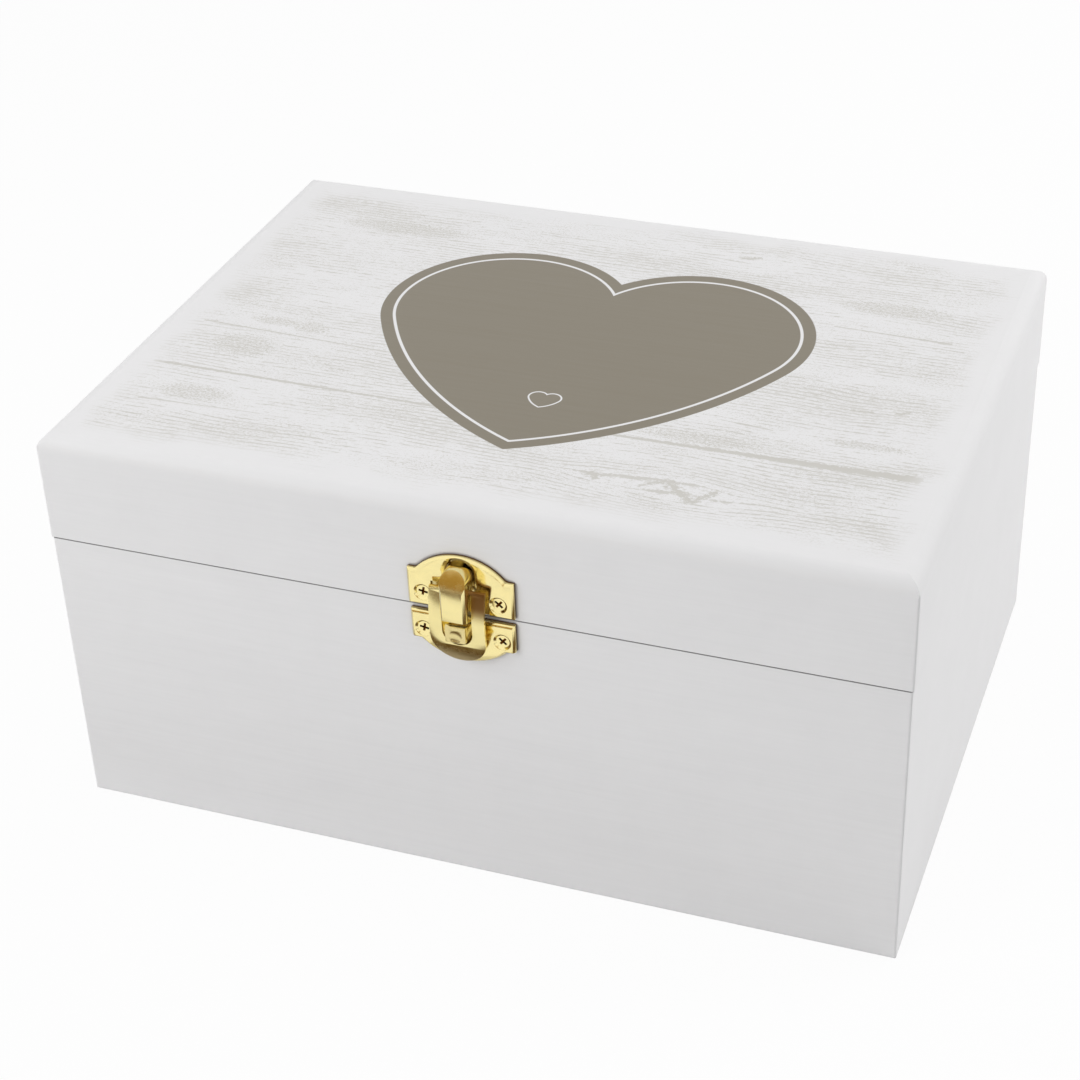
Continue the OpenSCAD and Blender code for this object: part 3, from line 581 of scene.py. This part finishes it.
def plate_darkening(wood_y, screws):
    """Mask for a pressed plate: painted shade along the wood, and painted dark reflections a little on its
    hook and on the upper right of each screw's dish. The screws are given as (x, z) in metres."""
    rim = (wood_y - 1.1 * MM, wood_y - 0.3 * MM)
    hook = (wood_y - 3.0 * MM, wood_y - 2.6 * MM)
    dish_rim = (2.75 * MM, 3.1 * MM)

    def mask(wiring, vector):
        parts = wiring.add("ShaderNodeSeparateXYZ", {"Vector": vector})
        # Painted shade along the wood, and a painted dark reflection on the hook
        dark = wiring.math("MAXIMUM",
            wiring.ramp(parts.outputs["Y"], *rim, 0.0, 0.95),
            wiring.ramp(parts.outputs["Y"], *hook, 0.22, 0.0))
        for x, z in screws:
            dx = wiring.math("SUBTRACT", parts.outputs["X"], x)
            dz = wiring.math("SUBTRACT", parts.outputs["Z"], z)
            off = wiring.math("SQRT",
                wiring.math("MULTIPLY_ADD", dx, dx, wiring.math("MULTIPLY", dz, dz)))
            # Painted dark reflection on the upper right of each screw's dish
            upper_right = wiring.ramp(wiring.math("ADD", dx, dz), -1.0 * MM, 1.5 * MM)
            dish = wiring.math("MULTIPLY", upper_right, wiring.ramp(off, *dish_rim, 0.9, 0.0))
            dark = wiring.math("MAXIMUM", dark, dish)
        return dark
    return mask


def recess_darkening(face_y, inward):
    """Mask for a screw: painted shade below the face of its head, as inside the cross recess"""
    def mask(wiring, vector):
        y = wiring.add("ShaderNodeSeparateXYZ", {"Vector": vector}).outputs["Y"]
        depth = wiring.math("MULTIPLY", wiring.math("SUBTRACT", y, face_y), inward)
        return wiring.ramp(depth, 0.03 * MM, 0.25 * MM)
    return mask


def lever_darkening(low_z, high_z):
    """Mask for the lever, in place of a dark reflection: its sloping panel darkens towards the bend"""
    def mask(wiring, vector):
        height = wiring.add("ShaderNodeSeparateXYZ", {"Vector": vector}).outputs["Z"]
        facing = upward(wiring)
        slope = wiring.math("MULTIPLY",
            wiring.ramp(facing, 0.15, 0.3), wiring.ramp(facing, 0.75, 0.9, 1.0, 0.0))
        near_bend = wiring.ramp(height, (low_z + high_z) / 2, high_z, 0.45, 0.0)
        return wiring.math("MULTIPLY", slope, near_bend)
    return mask


def ring_darkening(middle_x, low_z, high_z):
    """Mask for the ring, in place of dark reflections: along its foot and on the upper part of its right
    leg"""
    foot = (low_z + 1.5 * MM, low_z + 8.0 * MM)
    right_leg = (middle_x - 1.0 * MM, middle_x + 1.0 * MM)
    upper_leg = (high_z - 12.0 * MM, high_z - 5.0 * MM)

    def mask(wiring, vector):
        parts = wiring.add("ShaderNodeSeparateXYZ", {"Vector": vector})
        leg = wiring.math("MULTIPLY",
            wiring.ramp(parts.outputs["X"], *right_leg),
            wiring.ramp(parts.outputs["Z"], *upper_leg, 0.0, 0.9))
        return wiring.math("MAXIMUM", wiring.ramp(parts.outputs["Z"], *foot, 0.5, 0.0), leg)
    return mask


def screw_places(node):
    """Middle (x, z) of both screws of a node, from its box: each head is as wide as the box is high"""
    low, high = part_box(node)
    half = (high.z - low.z) / 2
    return [(low.x + half, low.z + half), (high.x - half, low.z + half)]


# ---------- helpers for pieces ----------


def dress(node, material):
    """Gives a CAD node its material"""
    mesh = NODES[node].data
    mesh.materials.clear()
    mesh.materials.append(material)


def select_only(piece):
    bpy.ops.object.select_all(action="DESELECT")
    piece.select_set(True)
    bpy.context.view_layer.objects.active = piece


def rounded_copy(node, width, material):
    """A copy of a CAD node, with sharp edges rounded as on pressed and polished metal, stands for the node"""
    source = NODES[node]
    piece = source.copy()
    piece.data = source.data.copy()
    piece.name = piece.data.name = node + "_polished"
    for key in list(piece.keys()):
        del piece[key]
    bpy.context.scene.collection.objects.link(piece)
    piece.parent = None
    piece.matrix_world = Matrix.Identity(4)
    select_only(piece)
    bpy.ops.object.mode_set(mode="EDIT")
    bpy.ops.mesh.select_all(action="SELECT")
    bpy.ops.mesh.remove_doubles(threshold=1e-7)
    bpy.ops.mesh.dissolve_limited(angle_limit=math.radians(0.3))
    bpy.ops.object.mode_set(mode="OBJECT")
    rounding = piece.modifiers.new("Rounded edges", "BEVEL")
    rounding.width = width
    rounding.segments = 2
    rounding.limit_method = "ANGLE"
    rounding.angle_limit = math.radians(32)
    bpy.ops.object.modifier_apply(modifier=rounding.name)
    bpy.ops.object.shade_smooth_by_angle(angle=math.radians(28))
    piece.data.materials.clear()
    piece.data.materials.append(material)
    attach(piece, BODY_OF[node])
    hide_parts(node)


# ---------- operators ----------


class KEEPSAKE_OT_shared_effects(bpy.types.Operator):
    """Build the node groups that several materials share"""

    bl_idname = "keepsake.shared_effects"
    bl_label = "Shared effects"

    def execute(self, context):
        build_brushed_paint_group()
        build_weathered_print_group()
        build_heart_group()
        build_brass_group()
        return {"FINISHED"}


class KEEPSAKE_OT_painted_boards(bpy.types.Operator):
    """Paint the walls of the base and the rails of the lid"""

    bl_idname = "keepsake.painted_boards"
    bl_label = "Painted boards"

    def execute(self, context):
        settings = context.scene.keepsake_paint
        long_way = paint_material("Paint brushed along the front", "X", settings, 0.50)
        short_way = paint_material("Paint brushed along the sides", "Y", settings, 0.70)
        for node in ("front_board", "back_board", "lid_front_rail", "lid_back_rail"):
            dress(node, long_way)
        for node in ("left_board", "right_board", "lid_left_rail", "lid_right_rail"):
            dress(node, short_way)
        return {"FINISHED"}


class KEEPSAKE_OT_printed_lid(bpy.types.Operator):
    """Paint and print the top board of the lid"""

    bl_idname = "keepsake.printed_lid"
    bl_label = "Printed lid"

    def execute(self, context):
        dress("lid_top_board", printed_lid_material(context.scene.keepsake_paint))
        return {"FINISHED"}


class KEEPSAKE_OT_bottom_panel(bpy.types.Operator):
    """Give the bottom panel its bare plywood"""

    bl_idname = "keepsake.bottom_panel"
    bl_label = "Bottom panel"

    def execute(self, context):
        dress("bottom_panel", plywood_material(context.scene.keepsake_paint))
        return {"FINISHED"}


class KEEPSAKE_OT_latch(bpy.types.Operator):
    """Polish the latch: plates, lever, ring and pin"""

    bl_idname = "keepsake.latch"
    bl_label = "Brass latch"

    def execute(self, context):
        settings = context.scene.keepsake_brass
        plates = (("latch_upper_plate", "Upper plate brass", "lid_front_rail", "upper_latch_screws"),
            ("latch_lower_plate", "Lower plate brass", "front_board", "lower_latch_screws"))
        for node, name, wood, screws in plates:
            darkening = plate_darkening(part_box(wood)[0].y, screw_places(screws))
            rounded_copy(node, settings.edge, brass_material(name, settings, darkening))
        low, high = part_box("latch_lever")
        lever = brass_material(
            "Lever brass", settings, lever_darkening(low.z, high.z), roughness_factor=1.2)
        rounded_copy("latch_lever", settings.edge * 1.4, lever)
        dress("lever_pin", lever)
        low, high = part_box("latch_ring")
        ring = brass_material(
            "Brushed ring brass", settings, ring_darkening((low.x + high.x) / 2, low.z, high.z),
            roughness_factor=1.15, tone_factor=0.95, brushed=0.15)
        rounded_copy("latch_ring", settings.edge, ring)
        return {"FINISHED"}


class KEEPSAKE_OT_screws(bpy.types.Operator):
    """Give the screws their plated brass, with painted shade inside the cross recess"""

    bl_idname = "keepsake.screws"
    bl_label = "Screws"

    def execute(self, context):
        settings = context.scene.keepsake_brass
        for node, name in (("upper_latch_screws", "Upper latch screws"),
                ("lower_latch_screws", "Lower latch screws"),
                ("hinge_base_screws", "Hinge screws")):
            low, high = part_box(node)
            front = low.y < 0
            darkening = recess_darkening(low.y if front else high.y, 1.0 if front else -1.0)
            dress(node, brass_material(name, settings, darkening, 1.3, 1.04))
        dress("hinge_lid_screws", bpy.data.materials["Hinge screws"])
        return {"FINISHED"}


class KEEPSAKE_OT_hinges(bpy.types.Operator):
    """Give the hinges their brass"""

    bl_idname = "keepsake.hinges"
    bl_label = "Hinges"

    def execute(self, context):
        brass = brass_material("Hinge brass", context.scene.keepsake_brass, roughness_factor=1.5)
        for node in NODES:
            if node.startswith(("hinge_left", "hinge_right")):
                dress(node, brass)
        return {"FINISHED"}


class KEEPSAKE_OT_stage(bpy.types.Operator):
    """Set the camera, the floor, the world and the lamps"""

    bl_idname = "keepsake.stage"
    bl_label = "Stage"

    def execute(self, context):
        add_camera(context)
        add_floor(context)
        light_world(context)
        add_lamps(context)
        add_cards()
        context.scene.view_settings.view_transform = "Standard"
        return {"FINISHED"}


def add_camera(context):
    """Stands where the photograph was taken from"""
    target = Vector((0.0, 0.0, 0.07))
    azimuth, elevation, roll = (math.radians(angle) for angle in (20.288, 32.883, -1.770))
    distance = 0.866337
    back = Vector((math.sin(azimuth) * math.cos(elevation), -math.cos(azimuth) * math.cos(elevation),
        math.sin(elevation)))
    data = bpy.data.cameras.new("Camera")
    data.lens = 77.973
    data.shift_x = -0.03086
    data.shift_y = -0.00157
    data.clip_start = 0.01
    data.clip_end = 50.0
    camera = bpy.data.objects.new("Camera", data)
    context.scene.collection.objects.link(camera)
    facing = (-back).to_track_quat("-Z", "Y").to_matrix()
    camera.matrix_world = (
        Matrix.Translation(target + distance * back) @ (facing @ Matrix.Rotation(roll, 3, "Z")).to_4x4())
    context.scene.camera = camera


def camera_sees(wiring):
    """1 for rays of the camera, and for those that metal and glass send"""
    path = wiring.add("ShaderNodeLightPath")
    seen = wiring.math("MAXIMUM", path.outputs["Is Camera Ray"], path.outputs["Is Glossy Ray"])
    return wiring.math("MAXIMUM", seen, path.outputs["Is Transmission Ray"])


def add_floor(context):
    """Pale floor that looks nearly white and keeps the box's shadow"""
    bpy.ops.object.select_all(action="DESELECT")
    bpy.ops.mesh.primitive_plane_add(size=8.0, location=(0.0, 0.0, 0.0))
    floor = context.active_object
    floor.name = "Floor"
    material, wiring, shader = new_material("Floor")
    shader.inputs["Base Color"].default_value = rgba(context.scene.keepsake_stage.floor)
    shader.inputs["Roughness"].default_value = 1.0
    shader.inputs["Specular IOR Level"].default_value = 0.0
    white = wiring.add("ShaderNodeEmission", {"Color": (1, 1, 1, 1), "Strength": 1.0})
    share = wiring.math("MULTIPLY", camera_sees(wiring), 0.95)
    mixed = wiring.add("ShaderNodeMixShader")
    wiring.feed(mixed.inputs[0], share)
    wiring.feed(mixed.inputs[1], shader.outputs[0])
    wiring.feed(mixed.inputs[2], white.outputs[0])
    output = next(n for n in material.node_tree.nodes if n.type == "OUTPUT_MATERIAL")
    wiring.feed(output.inputs["Surface"], mixed.outputs[0])
    floor.data.materials.append(material)


def light_world(context):
    """Soft even light, and white where the camera looks past the floor"""
    world = bpy.data.worlds.new("Studio")
    context.scene.world = world
    world.use_nodes = True
    wiring = Wiring(world.node_tree)
    background = next(n for n in world.node_tree.nodes if n.type == "BACKGROUND")
    wiring.feed(background.inputs["Color"], (1.0, 1.0, 1.0, 1.0))
    wiring.feed(background.inputs["Strength"], wiring.ramp(
        camera_sees(wiring), 0.0, 1.0, context.scene.keepsake_stage.fill, 1.0, smooth=False))


def add_area_lamp(context, name, place, target, width, power):
    """A square lamp hidden from glossy rays, so that neither the brass nor the paint mirrors it"""
    data = bpy.data.lights.new(name, "AREA")
    data.shape = "RECTANGLE"
    data.size = data.size_y = width
    data.energy = power
    lamp = bpy.data.objects.new(name, data)
    lamp.visible_glossy = False
    context.scene.collection.objects.link(lamp)
    lamp.location = place
    lamp.rotation_euler = (Vector(target) - Vector(place)).to_track_quat("-Z", "Y").to_euler()


def add_lamps(context):
    settings = context.scene.keepsake_stage
    lamps = (
        ("Key lamp", (-0.75, -0.95, 0.75), (-0.1, -0.1, 0.06), 0.9, settings.key),
        ("Side lamp", (1.0, 0.8, 0.7), (0.15, 0.0, 0.12), 1.0, settings.side),
        ("Top lamp", (-0.1, 0.2, 1.5), (0.0, 0.0, 0.15), 1.2, settings.over),
        ("Corner lamp", (0.9, -0.9, 0.45), (0.15, -0.1, 0.08), 0.9, settings.corner),
    )
    for name, place, target, width, power in lamps:
        add_area_lamp(context, name, place, target, width, power)


def add_card(name, size, place, tilt, tone):
    """A card that only glossy rays see, those of the paint too. It covers part of the white background
    for them, as a dark band: returns its wiring and shader"""
    bpy.ops.object.select_all(action="DESELECT")
    bpy.ops.mesh.primitive_plane_add(size=1.0, location=(0.0, 0.0, 0.0))
    card = bpy.context.active_object
    card.name = name
    bpy.ops.transform.resize(value=(*size, 1.0))
    bpy.ops.object.transform_apply(location=False, rotation=False, scale=True)
    card.rotation_euler = (math.radians(tilt), 0.0, 0.0)
    card.location = place
    material, wiring, shader = new_material(name)
    shader.inputs["Base Color"].default_value = (0.0, 0.0, 0.0, 1.0)
    shader.inputs["Roughness"].default_value = 1.0
    shader.inputs["Specular IOR Level"].default_value = 0.0
    shader.inputs["Emission Color"].default_value = rgba(tone)
    shader.inputs["Emission Strength"].default_value = 1.0
    card.data.materials.append(material)
    card.visible_camera = False
    card.visible_diffuse = False
    card.visible_shadow = False
    card.visible_transmission = False
    return wiring, shader


def add_cards():
    """A brown card upright beyond the camera, and a darker one on the floor in front of the box,
    clear between its near and its far band"""
    add_card("Upright card", (3.6, 1.2), (-0.4, -2.0, 0.60), 90, (0.42, 0.26, 0.07))
    depth = 0.9
    near_band_end = (0.055, 0.085)
    far_band_start = (0.28, 0.40)
    place = (0.0, CAD_BOUNDS[0][1] - depth / 2, 0.001)
    wiring, shader = add_card("Banded card", (1.2, depth), place, 0, (0.13, 0.08, 0.03))
    parts = wiring.add("ShaderNodeSeparateXYZ", {"Vector": object_coordinates(wiring)})
    away = wiring.math("SUBTRACT", depth / 2, parts.outputs["Y"])
    near = wiring.ramp(away, *near_band_end, 1.0, 0.0)
    far = wiring.ramp(away, *far_band_start)
    wiring.feed(shader.inputs["Alpha"], wiring.math("MAXIMUM", near, far))


class KEEPSAKE_PT_panel(bpy.types.Panel):
    """Lists the steps that dress the box"""

    bl_idname = "KEEPSAKE_PT_panel"
    bl_label = "Keepsake box"
    bl_space_type = "VIEW_3D"
    bl_region_type = "UI"
    bl_category = "Keepsake box"

    def draw(self, context):
        scene = context.scene
        for settings in (scene.keepsake_paint, scene.keepsake_brass, scene.keepsake_stage):
            for name in settings.bl_rna.properties.keys():
                if name not in ("rna_type", "name"):
                    self.layout.prop(settings, name)
        for step in STEPS:
            self.layout.operator(step.bl_idname)


STEPS = (
    KEEPSAKE_OT_shared_effects,
    KEEPSAKE_OT_painted_boards,
    KEEPSAKE_OT_printed_lid,
    KEEPSAKE_OT_bottom_panel,
    KEEPSAKE_OT_latch,
    KEEPSAKE_OT_screws,
    KEEPSAKE_OT_hinges,
    KEEPSAKE_OT_stage,
)
SETTINGS = {"keepsake_paint": PaintSettings, "keepsake_brass": BrassSettings, "keepsake_stage": StageSettings}
CLASSES = (*SETTINGS.values(), *STEPS, KEEPSAKE_PT_panel)


def register():
    for made in CLASSES:
        bpy.utils.register_class(made)
    for name, group in SETTINGS.items():
        setattr(bpy.types.Scene, name, bpy.props.PointerProperty(type=group))


def unregister():
    for name in SETTINGS:
        delattr(bpy.types.Scene, name)
    for made in reversed(CLASSES):
        bpy.utils.unregister_class(made)


def main():
    register()
    for step in STEPS:
        group, name = step.bl_idname.split(".")
        getattr(getattr(bpy.ops, group), name)()


if __name__ == "__main__":
    main()
